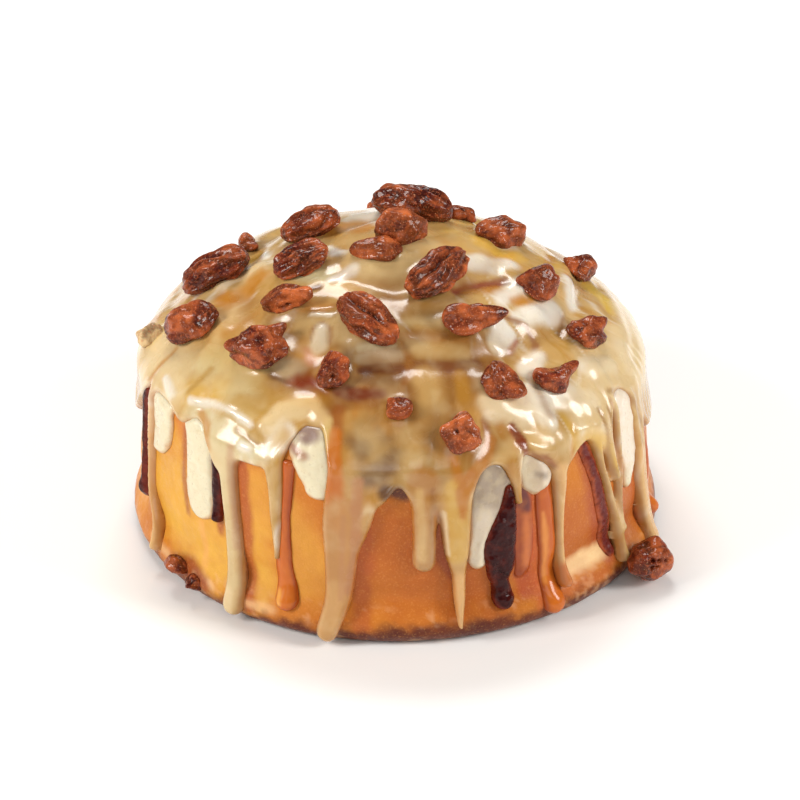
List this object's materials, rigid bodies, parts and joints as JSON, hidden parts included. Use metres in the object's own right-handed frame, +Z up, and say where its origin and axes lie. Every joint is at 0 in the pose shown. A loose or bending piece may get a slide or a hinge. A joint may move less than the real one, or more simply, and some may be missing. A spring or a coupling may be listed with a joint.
{
  "type": "sticky bun",
  "caption": "Round sticky bun: a coiled domed sweet roll under dripping caramel icing, with frosting, cinnamon filling, syrup and candied pecans.",
  "frame": {"origin": "centre of the flat base, on the surface that the bun stands on", "axes": "+Z up, out of the top of the bun; -Y is the side with the most drips; +X is to its right"},
  "size_m": [0.1163, 0.1161, 0.0733],
  "materials": {
    "dough": "baked golden crust, satin",
    "icing": "glossy caramel icing",
    "frosting": "soft satin frosting",
    "filling": "wet dark cinnamon filling",
    "syrup": "clear amber syrup, high gloss",
    "pecan": "candied nut, uneven gloss"
  },
  "bodies": {
    "root": {"bun": "dough", "filling_1": "filling", "filling_2": "filling", "filling_3": "filling", "filling_4": "filling", "filling_5": "filling", "frosting_1": "frosting", "frosting_2": "frosting", "frosting_3": "frosting", "frosting_4": "frosting", "frosting_5": "frosting", "frosting_6": "frosting", "frosting_7": "frosting", "frosting_8": "frosting", "frosting_9": "frosting", "icing": "icing", "pecan_01": "pecan", "pecan_02": "pecan", "pecan_03": "pecan", "pecan_04": "pecan", "pecan_05": "pecan", "pecan_06": "pecan", "pecan_07": "pecan", "pecan_08": "pecan", "pecan_09": "pecan", "pecan_10": "pecan", "pecan_11": "pecan", "pecan_12": "pecan", "pecan_13": "pecan", "pecan_14": "pecan", "pecan_15": "pecan", "pecan_16": "pecan", "pecan_17": "pecan", "pecan_18": "pecan", "pecan_19": "pecan", "pecan_20": "pecan", "pecan_21": "pecan", "pecan_22": "pecan", "pecan_23": "pecan", "pecan_24": "pecan", "pecan_25": "pecan", "pecan_26": "pecan", "pecan_27": "pecan", "pecan_28": "pecan", "pecan_29": "pecan", "pecan_30": "pecan", "pecan_31": "pecan", "pecan_32": "pecan", "pecan_33": "pecan", "pecan_foot_1": "pecan", "pecan_foot_2": "pecan", "pecan_foot_3": "pecan", "syrup_1": "syrup", "syrup_2": "syrup", "syrup_3": "syrup", "syrup_4": "syrup", "syrup_5": "syrup", "syrup_6": "syrup"}
  },
  "joints": []
}
